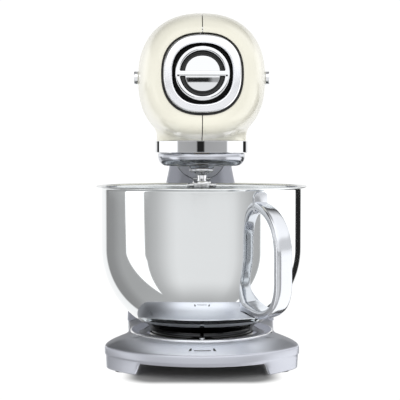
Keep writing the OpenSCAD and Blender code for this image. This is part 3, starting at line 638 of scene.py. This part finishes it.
PLANET_Y = -27.3
pan_corner = [(36.4 + 9 * sin(t), 212.5 - 9 * cos(t)) for t in np.linspace(0, pi / 2, 15)]
pan = [(0, 203.5)] + pan_corner + [(45.4, 216.3), (44.9, 216.8), (0, 216.8)]
pan_shape = Shape().lathe(pan, 176)
boss = soften([(8.0, 201.4), (12.8, 201.4), (13.3, 203.2), (14.6, 204.4)], [0, 0.7, 0.8, 0], steps=3)
pan_shape.lathe(boss, 96, "z", (0, PLANET_Y))
place("planet_pan", pan_shape, PAN, "carrier", ["planet_carrier"], angle=50)

washer = soften(
    [(5.45, 195.0), (6.2, 195.0), (7.2, 196.8), (10.8, 197.0), (12.5, 198.6), (12.6, 200.2), (11.4, 201.2),
     (5.45, 201.2)],
    [0, 0.4, 1.2, 1.2, 0.8, 0.6, 0.6, 0], steps=4)
drip_ring = Shape().lathe(washer, 112, "z", (0, PLANET_Y))
place("drip_ring", drip_ring, CHROME, "planet", ["drip_washer"])

shaft = soften(
    [(0, 166.2), (4.6, 166.2), (5.35, 167.2), (5.35, 186.0), (4.9, 187.0), (4.9, 194.4), (5.35, 195.2),
     (5.35, 227.8), (0, 227.8)],
    [0, 0.4, 0.4, 0.4, 0.4, 0.4, 0.4, 0.3, 0], steps=3)
spindle = Shape().lathe(shaft, 72, "z", (0, PLANET_Y))
place("beater_spindle", spindle, CHROME, "planet", ["beater_shaft"])

BEATER_SIDE = [(9, 176), (20, 170), (38.5, 158), (52, 140.5), (59, 118), (59, 96), (53.5, 78), (45, 65.5),
               (33.5, 56.4), (18, 52.8)]
outer = flowing(BEATER_SIDE + [(0, 52.3)] + [(-x, z) for x, z in BEATER_SIDE[::-1]], 8)
UPPER_WINDOW = [(7.2, 103.4), (50, 103.4), (49.6, 120), (45.2, 134), (34.5, 147.5), (19, 157.6), (7.2, 162)]
LOWER_WINDOW = [(7.2, 90), (49, 90), (45.6, 80), (38.5, 71.5), (28.5, 65.2), (16, 62.4), (7.2, 62)]
upper, lower = (soften(window, [2.5, 3.5, 8, 8, 8, 6, 2.5], steps=6, closed=True)
                for window in (UPPER_WINDOW, LOWER_WINDOW))
flip_x = np.array([-1, 1])
blade = plate_mesh([outer, upper[::-1], lower[::-1], upper * flip_x, lower * flip_x], 7.6, 2.6,
                   facing("front", (0, PLANET_Y, 0)), 4)
sleeve = soften(
    [(5.5, 149), (7.0, 149), (8.5, 152), (8.5, 178.5), (9.6, 180.6), (9.6, 186.4), (8.6, 188.4),
     (5.5, 188.4)],
    [0, 0.6, 1.0, 1.2, 0.8, 0.9, 0.6, 0], steps=4)
sleeve_mesh = shape_mesh("sleeve", Shape().lathe(sleeve, 80, "z", (0, PLANET_Y)))
ears = plate_mesh([stadium(14.8, 4.8, 3.6)], 5.0, 1.3, facing("top", (0, PLANET_Y, 183.6)), 4)
beater = join([blade, sleeve_mesh, ears])
dress(beater, "beater_blade", BEATER, "beater", ["flat_beater"], angle=45)


# ---------------------------------------------------------------- bowl

ARC_X, ARC_Z, ARC_R = 11.1, 118.0, 93.9


def bowl_wall(inset, angles):
    return [(ARC_X + (ARC_R - inset) * cos(a), ARC_Z - (ARC_R - inset) * sin(a)) for a in angles]


down = np.radians(np.linspace(53, 0, 28))
outer_wall = [(0, 42.0), (30, 42.0), (58, 42.05)] + bowl_wall(0, down) + [(105, 150), (105, 178.6)]
rim_line = soften(
    [(105, 178.6), (105, 180.4), (107.0, 181.0), (109.9, 181.0), (110.5, 182.0), (109.9, 182.9),
     (106.0, 182.9), (103.9, 181.6), (103.8, 179.4)],
    [0, 1.0, 0.8, 0.8, 0.7, 0.8, 1.6, 1.2, 0], steps=4)[1:]
inner_wall = [(103.8, 150)] + bowl_wall(1.2, down[::-1]) + [(58, 43.3), (30, 43.25), (0, 43.25)]
bowl_line = outer_wall + [tuple(q) for q in rim_line] + inner_wall
place("bowl_skin", Shape().lathe(bowl_line, 256), BOWL, "bowl", ["bowl_shell"], angle=28)

foot = soften(
    [(49.2, 41.9), (50, 36), (50, 25.5), (54, 25.5), (54, 34.2), (55.2, 36.6), (62.5, 40.8), (66.5, 42.4)],
    [0, 2, 0.5, 0.5, 2, 2.5, 2, 0], steps=4)
foot_shape = Shape().lathe(foot, 176)
lug_line = [(53.5, 25.7), (57.8, 25.7), (57.8, 28.1), (53.5, 28.1)]
for middle in (-118, 2, 122):
    a = np.radians(np.linspace(middle - 11.5, middle + 11.5, 14))
    pts = np.array([[(r * cos(t), r * sin(t), z) for r, z in lug_line] for t in a])
    foot_shape.grid(pts, wrap=True)
    foot_shape.add(pts[0], [(0, 1, 2, 3)])
    foot_shape.add(pts[-1], [(3, 2, 1, 0)])
# The foot ring takes the near-black steel, its painted shade.
place("bowl_collar", foot_shape, SHADED_COLLAR, "bowl", ["bowl_foot"], angle=40)

# Handle: a strap swept through the plane of the handle, wide where it meets the bowl.
TURN = radians(-57.5)
STRAP_PATH = [(96, 166.0), (103, 165.8), (112, 163.6), (122, 159.0), (131, 151.4), (138, 140.8),
              (141.3, 128), (142, 114), (142, 103), (142, 92), (140.6, 81.5), (136, 71.8), (128, 64.8),
              (118, 61.2), (108, 61.2), (98, 63.2), (88, 65.8), (78, 67.5)]
STRAP_WIDTH = [(0, 16), (0.06, 16.2), (0.16, 17.4), (0.3, 18.8), (0.5, 19.4), (0.68, 19), (0.82, 19.4),
               (0.92, 21), (1, 22)]
STRAP_DEPTH = [(0, 9.0), (0.1, 8.4), (0.25, 8.0), (0.75, 8.0), (0.9, 11.0), (1, 15.0)]
path = flowing(STRAP_PATH, 6, closed=False)
share = run_length(path) / run_length(path)[-1]
wide = np.interp(share, *np.transpose(STRAP_WIDTH))
thick = np.interp(share, *np.transpose(STRAP_DEPTH))
ahead = np.gradient(path, axis=0)
ahead /= np.linalg.norm(ahead, axis=1)[:, None]
outward = np.stack([-ahead[:, 1], ahead[:, 0]], 1)
section = squircle(1, 4.5, 48)
FACE_TURN = radians(5)
rings = []
for p, o, w, t in zip(path, outward, wide, thick):
    flat, deep = section[:, 0] * w / 2, section[:, 1] * t / 2
    depth = deep * cos(FACE_TURN) - flat * sin(FACE_TURN)
    across = flat * cos(FACE_TURN) + deep * sin(FACE_TURN)
    radial, z = p[0] + o[0] * depth, p[1] + o[1] * depth
    x = radial * cos(TURN) - across * sin(TURN)
    y = radial * sin(TURN) + across * cos(TURN)
    rings.append(np.stack([x, y, z], 1))
strap = solid_through(rings)
# The tab that is welded to the wall, following its curve.
tab = soften([(-8.3, 157.5), (8.3, 157.5), (8.3, 179.4), (-8.3, 179.4)], [5.5, 5.5, 6.5, 6.5], steps=8,
             closed=True)
centre = tab.mean(0)
shells = []
for grow, r in ((1.0, 104.2), (1.0, 106.0), (0.93, 106.9), (0.6, 107.2), (0.0, 107.3)):
    q = centre + (tab - centre) * grow
    a = TURN + q[:, 0] / 105
    shells.append(np.stack([r * np.cos(a), r * np.sin(a), q[:, 1]], 1))
strap.grid(shells, wrap=True)
place("handle_strap", strap, HANDLE, "bowl", ["bowl_handle"], angle=42)


# ---------------------------------------------------------------- base

BASE_R, REAR_HALF, REAR_R, BASE_BACK = 115.0, 85.5, 40, 262.0
BASE_SIDE = [(98.1, -60), (98.6, -50), (98.2, -40), (94.8, -20), (88.6, 0), (83.8, 12), (80.4, 24),
             (79.5, 40), (80.6, 60), (82.0, 80), (83.4, 100), (84.8, 120)]
DECK_TOP, SLOPE_DROP, SLOPE_END = 30.0, 6.6, 26


def base_outline():
    """The base seen from above: a round front with flattened sides, a waist and a straight rear."""
    front = [(BASE_R * cos(a), BASE_R * sin(a)) for a in np.linspace(-pi / 2, -radians(33.5), 30)]
    rear = [(REAR_HALF, y) for y in np.linspace(138, BASE_BACK - REAR_R, 24)]
    corner = [(REAR_HALF - REAR_R + REAR_R * cos(a), BASE_BACK - REAR_R + REAR_R * sin(a))
              for a in np.linspace(0.1, pi / 2, 20)]
    right = front + BASE_SIDE + rear + corner
    left = [(-x, y) for x, y in right[::-1]]
    p = np.array(right + left[1:-1])
    s = run_length(np.vstack([p, p[:1]]))
    at = np.linspace(0, s[-1], int(s[-1] / 2.0), endpoint=False)
    q = np.stack([np.interp(at, s, np.append(p[:, k], p[0, k])) for k in (0, 1)], 1)
    for _ in range(14):
        q = 0.25 * np.roll(q, 1, 0) + 0.5 * q + 0.25 * np.roll(q, -1, 0)
    return q


outline = base_outline()
along = np.roll(outline, -1, 0) - np.roll(outline, 1, 0)
along /= np.linalg.norm(along, axis=1)[:, None]
inward = np.stack([-along[:, 1], along[:, 0]], 1)


def inset(d):
    """The outline drawn in by d."""
    return outline + inward * d


def foot_share(p):
    """1 where the side wall comes down to a foot, 0 over the arches between them."""
    x, y = np.abs(p[:, 0]), p[:, 1]
    front = smooth_step((x - 62.5) / 5.5) * smooth_step((-42 - y) / 5.5)
    rear = smooth_step((x - 40) / 5.5) * smooth_step((y - 190) / 5.5)
    return np.maximum(front, rear)


def slope_height(d):
    """Height of the deck at a distance in from the outline."""
    return DECK_TOP - SLOPE_DROP * np.clip((SLOPE_END - d) / (SLOPE_END - 1), 0, 1) ** 1.8


def level(d, z):
    """The outline drawn in by d, at a height that is one number or one for each point."""
    q = inset(d)
    return np.column_stack([q, np.broadcast_to(z, len(q))])


# The wall's levels (inset, height), from inside its lower edge, round the edge and up to the deck.
wall_bottom = 11.8 - 11.3 * foot_share(outline)
lower_edge = [(5.0, 20.0), (5.0, wall_bottom + 0.8), (4.4, wall_bottom), (2.4, wall_bottom),
              (1.7, wall_bottom + 0.8), (1.4, wall_bottom + 0.55 * (13.2 - wall_bottom))]
upper_wall = [(1.1, 13.2), (0.9, 14.0), (0.2, 15.0), (0.0, 16.0), (0.0, 21.2), (0.3, 22.4), (1.0, 23.3)]
slope = [(d, slope_height(d)) for d in (2, 3.5, 5.5, 8, 11, 14, 18, 22, SLOPE_END)]
levels = [level(d, z) for d, z in lower_edge + upper_wall + slope + [(34, DECK_TOP)]]
wall = place("base_wall", Shape().grid(levels, wrap=True), [SILVER, DECK_LIGHT_AND_SHADE], "base",
             ["base_casting"], angle=34)
# The wall's upward faces above the crease take the deck's copy of the paint, with its painted light and
# shade.
for face in wall.data.polygons:
    face.material_index = int(face.center.z > 23.2 * MM and face.normal.z > 0.25)
well_edge = [(60.5 * cos(a), 60.5 * sin(a)) for a in np.linspace(0, 2 * pi, 120, endpoint=False)]
deck = plate_mesh([inset(33.0), well_edge], 4.0, 0.02, facing("top", (0, 0, 27.9)), 0)
dress(deck, "base_deck", DECK_LIGHT_AND_SHADE, "base", angle=34)
cup = soften([(60.9, 30.2), (60.9, 25.2), (0, 25.2)], [0, 1.0, 0], steps=3)
place("base_socket", Shape().lathe(cup, 144), BLACK, "base", angle=34)

FRONT_FOOT = [(66, -92), (82, -78), (94.5, -58), (96, -47), (95.6, -43), (66, -43)]
REAR_FOOT = [(44, 192), (81, 192), (81.5, 222), (70, 246), (52, 256), (44, 257)]
blocks = []
for side in (-1, 1):
    for foot_line in (FRONT_FOOT, REAR_FOOT):
        q = soften([(side * x, y) for x, y in foot_line], 6, steps=5, closed=True)
        blocks.append(plate_mesh([q[::side]], 12.0, 0.8, facing("top", (0, 0, 6.6)), 2))
dress(join(blocks), "base_feet", SILVER, "base", angle=34)

# Locking mark pressed into the front slope: a shallow arc between two wedges.


def on_slope(points):
    """Points just above the front slope."""
    return [(x, y, slope_height(BASE_R - np.hypot(x, y)) + 0.12) for x, y in points]


outer_arc = [(107.0 * cos(a), 106.6 * sin(a)) for a in np.radians(np.linspace(-94.3, -85.7, 20))]
inner_arc = [(105.5 * cos(a), 105.5 * sin(a)) for a in np.radians(np.linspace(-94.3, -85.7, 20))]
lock = Shape().grid([on_slope(outer_arc), on_slope(inner_arc)])
for side in (-1, 1):
    wedge = [(side * 10.6, -105.8), (side * 13.4, -106.4), (side * 12.0, -101.6), (side * 10.2, -101.2)]
    middle = tuple(np.mean(wedge, 0))
    lock.add(on_slope(wedge + [middle]), [(i, (i + 1) % 4, 4) for i in range(4)])
place("lock_mark", lock, BLACK, "base", angle=34)

# Clamp plate: a polished dish around the bowl's foot with notches for its lugs.
plate_line = soften(
    [(55.2, 27.4), (55.2, 29.9), (66, 29.7), (71.5, 30.6), (74.2, 31.5), (75.0, 31.0), (75.0, 29.9)],
    [0, 0.5, 3, 3, 0.6, 0.5, 0], steps=4)
a = np.linspace(0, 2 * pi, 360, endpoint=False)
NOTCH_R = 58.6
notch = np.zeros_like(a)
for k in range(3):
    away = np.abs((a - radians(-90 + 120 * k) + pi) % (2 * pi) - pi)
    notch = np.maximum(notch, smooth_step((radians(13) - away) / radians(1.6)))
rings = []
for r, z in plate_line:
    notched = np.maximum(r, r + (NOTCH_R - r) * notch)
    rings.append(np.stack([notched * np.cos(a), notched * np.sin(a), np.full_like(a, z)], 1))
place("clamp_dish", Shape().grid(rings, wrap=True), CHROME, "base", ["clamp_plate"])


# ---------------------------------------------------------------- column

SIDE_FRONT = [(24, 88), (30, 92), (48, 101), (80, 108), (120, 114), (160, 117.5), (195, 119), (226, 121)]
SIDE_BACK = [(24, 255), (30, 254), (70, 250), (110, 244), (150, 236), (180, 226), (193, 214), (207, 204),
             (219, 191), (226, 180)]
HALF = [(24, 84.6), (33, 84.5), (36, 83.6), (38.2, 81.2), (40, 79.8), (48, 77.4), (60, 74.0), (70, 70.8),
        (90, 64.4), (110, 58.4), (150, 47.8), (183, 40.2), (201, 36.6), (226, 33.2)]


def column_section(z):
    """Half of the column's outline at a height, from the middle of its front to the middle of its back."""
    yf = pchip(*np.array(SIDE_FRONT).T, [z])[0]
    yb = pchip(*np.array(SIDE_BACK).T, [z])[0]
    w = pchip(*np.array(HALF).T, [z])[0]
    face = 0.64 * w
    lean = min(16.0, 0.25 * (yb - yf))
    pts = [(0, yf), (face, yf + 1.2), (w, yf + lean), (w, yb - 22), (w * 0.62, yb - 1), (0, yb)]
    return soften(pts, [0, 4, 5, 26, 26, 0], steps=6)


sections = []
for z in np.concatenate([np.linspace(24, 48, 18), np.linspace(50, 226, 60)]):
    half = column_section(z)
    whole = np.concatenate([half, half[::-1][1:-1] * np.array([-1, 1])])
    sections.append(np.column_stack([whole, np.full(len(whole), z)]))
column = place("column_skin", solid_through(sections), SHADED_COLUMN, "base", ["column"], angle=34)

# The head's hinge arm moves in a slot that is open to the front, and its barrel in a round seat.
PIVOT_Y, PIVOT_Z, SEAT_R, SLOT_HALF, CUT_TOP = 178.0, 214.0, 28.9, 30.5, 270
arch = [(SLOT_HALF * cos(a), 216 + SLOT_HALF * sin(a)) for a in np.linspace(pi, 2 * pi, 49)]
slot_line = [(-SLOT_HALF, CUT_TOP)] + arch + [(SLOT_HALF, CUT_TOP)]
slot = solid_through([[(x, y, z) for x, z in slot_line] for y in (70, PIVOT_Y)])
bowed = [(PIVOT_Y + SEAT_R * sin(a), PIVOT_Z - SEAT_R * cos(a)) for a in np.linspace(-pi / 2, pi / 2, 33)]
seat_line = [(PIVOT_Y - SEAT_R, CUT_TOP)] + bowed + [(PIVOT_Y + 60, PIVOT_Z + 0.1), (PIVOT_Y + 60, CUT_TOP)]
seat = solid_through([[(x, y, z) for y, z in seat_line] for x in (-SLOT_HALF, SLOT_HALF)])


def cut_away(obj, shape):
    """Takes a closed shape out of a piece."""
    mesh = shape_mesh("cutter", shape)
    weld(mesh)
    cutter = bpy.data.objects.new("cutter", mesh)
    scene.collection.objects.link(cutter)
    mod = obj.modifiers.new("cut", "BOOLEAN")
    mod.operation = "DIFFERENCE"
    mod.solver = "EXACT"
    mod.object = cutter
    apply_modifiers(obj)
    bpy.data.objects.remove(cutter)


cut_away(column, slot)
cut_away(column, seat)
bevel_edges(column, 0.9, 42, 3)
apply_modifiers(column)
shade_smooth(column.data, 34)

# The release button is hollow at the back, for its spring, with a rod in the middle.
button = soften(
    [(0, -239.6), (9.6, -239.6), (10.9, -238.4), (10.9, -223.2), (7.9, -223.2), (7.9, -229.4),
     (2.3, -229.4)],
    [0, 1.4, 1.0, 0.4, 0.4, 0.4, 0], steps=4)
button_shape = Shape().lathe(button, 96, "y", (0, 165))
rod = soften([(0, -229.6), (2.4, -229.6), (2.4, -204.6), (0, -204.6)], [0, 0.2, 0.2, 0], steps=2)
button_shape.lathe(rod, 32, "y", (0, 165))
place("release_push", button_shape, CHROME, "button", ["release_button"], angle=40)


# ---------------------------------------------------------------- floor, studio light and camera

floor_mesh = bpy.data.meshes.new("floor")
a = np.linspace(0, 2 * pi, 96, endpoint=False)
floor_mesh.from_pydata([(1.2 * cos(t), 1.2 * sin(t) + AXIS_Y, -0.0003) for t in a], [], [tuple(range(96))])
floor = bpy.data.objects.new("floor", floor_mesh)
scene.collection.objects.link(floor)
floor.visible_glossy = False


def floor_material():
    """A table with a painted shadow: dark and matt in a rounded patch under the mixer, where it also takes
    real shade, glowing around it and fading out into the studio's white.
    """
    m = bpy.data.materials.new("floor_white")
    m.use_nodes = True
    m.node_tree.nodes.clear()
    g = Graph(m.node_tree)
    where = g.node("TexCoord").outputs["Object"]
    # The painted shadow's rounded patch, by distance from a box under the mixer.
    off = g.vector("ABSOLUTE", g.vector("SUBTRACT", where, (0, AXIS_Y + 0.074, 0)))
    past = g.vector("MAXIMUM", g.vector("SUBTRACT", off, (0.045, 0.174, 0)))
    away = g.node("VectorMath", {0: past}, operation="LENGTH").outputs["Value"]
    dark_matt_shadow = g.node("BsdfDiffuse", {"Color": (0.30, 0.30, 0.30, 1)}).outputs[0]
    glow = g.node("Emission", {"Color": (1, 1, 1, 1), "Strength": 1.05}).outputs[0]
    table = g.node("MixShader", {"Fac": g.span(away, 0.016, 0.036), 1: dark_matt_shadow, 2: glow}).outputs[0]
    clear = g.node("BsdfTransparent").outputs[0]
    faded = g.node("MixShader", {"Fac": g.span(away, 0.42, 0.85), 1: table, 2: clear}).outputs[0]
    g.node("OutputMaterial", {"Surface": faded})
    return m


floor_mesh.materials.append(floor_material())

# Studio: brightness by compass angle around the mixer, 0 towards the camera and positive to its right.
# BELOW is under the mixer's horizon, LEVEL a narrow layer on it, and ABOVE and HIGH the room over it.
BELOW = [
    (-180, 1.05), (-142, 1.05), (-138, 0.29), (-120, 0.33), (-104, 0.44), (-66, 0.45), (-52, 0.58),
    (-44, 0.70), (-36, 0.83), (-28, 0.91), (28, 0.90), (36, 0.86), (44, 0.70), (60, 0.50), (69, 0.45),
    (134, 0.45), (136, 0.02), (157, 0.02), (160, 1.05), (180, 1.05),
]
LEVEL = [
    (-180, 0.9), (-148, 0.9), (-145, 0.02), (-133, 0.02), (-130, 1.3), (-64, 1.3), (-60, 0.45),
    (-13, 0.40), (-10, 0.02), (5, 0.02), (8, 0.40), (64, 0.45), (68, 1.3), (124, 1.3), (127, 0.02),
    (145, 0.02), (148, 0.9), (180, 0.9),
]
ABOVE = [
    (-180, 0.85), (-160, 0.9), (-148, 1.3), (-126, 1.4), (-123, 0.85), (-60, 0.95), (-30, 1.15),
    (30, 1.15), (60, 0.9), (121, 0.85), (124, 1.4), (148, 1.3), (160, 0.9), (180, 0.85),
]
HIGH = [
    (-180, 0.5), (-165, 0.1), (-70, 0.1), (-40, 1.6), (90, 1.4), (130, 1.2), (150, 0.1), (165, 0.1),
    (180, 0.5),
]


def studio_world():
    """A room of soft panels for what shines, and an even light for what is matt."""
    world = bpy.data.worlds.new("studio")
    scene.world = world
    world.use_nodes = True
    world.cycles.sampling_method = "NONE"
    world.node_tree.nodes.clear()
    g = Graph(world.node_tree)
    math, span, blend = g.math, g.span, g.blend

    xyz = g.node("SeparateXYZ", {0: g.node("TexCoord").outputs["Generated"]}).outputs
    angle = math("ARCTAN2", xyz["X"], math("MULTIPLY", xyz["Y"], -1.0))
    turn = span(angle, -pi, pi, smooth=False)
    degrees = math("MULTIPLY", angle, 180 / pi)
    height = math("MULTIPLY", math("ARCSINE", xyz["Z"]), 180 / pi)
    drop = math("MAXIMUM", math("MULTIPLY", height, -1.0), 0.0)

    def around(table):
        """The table's brightness at the ray's compass angle; the ramp holds half of it, to stay under 1."""
        node = g.node("ValToRGB", {"Fac": turn})
        ramp = node.color_ramp
        ramp.elements.remove(ramp.elements[-1])
        for k, (degree, v) in enumerate(table):
            at = (degree + 180) / 360
            stop = ramp.elements.new(at) if k else ramp.elements[0]
            stop.position = at
            stop.color = (v / 2, v / 2, v / 2, 1)
        return math("MULTIPLY", node.outputs["Color"], 2.0)

    def between(value, first, last, edge):
        """1 where the value lies between two limits, with soft edges."""
        after = span(math("SUBTRACT", value, first), -edge, edge)
        return math("MULTIPLY", after, span(math("SUBTRACT", last, value), -edge, edge))

    # Far below, everything fades to a middle grey, but for a panel on each side.
    low = blend(span(drop, 33, 70), around(BELOW), 0.50)
    bow = math("MULTIPLY", math("POWER", math("DIVIDE", drop, 49.0), 1.2), 32.0)
    left_edge = math("SUBTRACT", bow, 97.0)
    right_edge = span(drop, 0, 12, -69, -64.5, smooth=False)
    left_panel = math("MULTIPLY", between(degrees, left_edge, right_edge, 0.8), span(drop, 51, 49))
    right_panel = between(degrees, 69.0, 134.0, 0.8)
    low = blend(math("MAXIMUM", left_panel, right_panel), low, 1.5)
    room = blend(span(height, -1.9, -1.6), low, around(LEVEL))
    high = blend(span(height, 14, 22), around(ABOVE), around(HIGH))
    high = blend(span(height, 55, 75), high, 0.45)
    room = blend(span(height, 1.6, 1.9), room, high)
    near_level = span(math("ABSOLUTE", height), 0, 34, 1.0, 0.0)
    even = math("ADD", math("MULTIPLY", near_level, 0.12), 1.0)
    path = g.node("LightPath").outputs
    shade = blend(path["Is Diffuse Ray"], room, even)
    shade = blend(path["Is Camera Ray"], shade, 1.05)
    back = g.node("Background", {"Color": (1, 1, 1, 1), "Strength": shade})
    g.node("OutputWorld", {"Surface": back.outputs[0]})


studio_world()

camera_data = bpy.data.cameras.new("camera")
camera_data.sensor_width = 36
camera_data.lens = 99.27
camera_data.clip_start = 0.05
camera = bpy.data.objects.new("camera", camera_data)
scene.collection.objects.link(camera)
camera.location = Vector(row([(-10.0, -1161, 218)])[0])
camera.rotation_euler = (radians(90 - 2.4918), 0, -radians(0.4156))
scene.camera = camera
scene.view_settings.view_transform = "Standard"
scene.view_settings.look = "None"
scene.view_settings.exposure = 0
scene.view_settings.gamma = 1
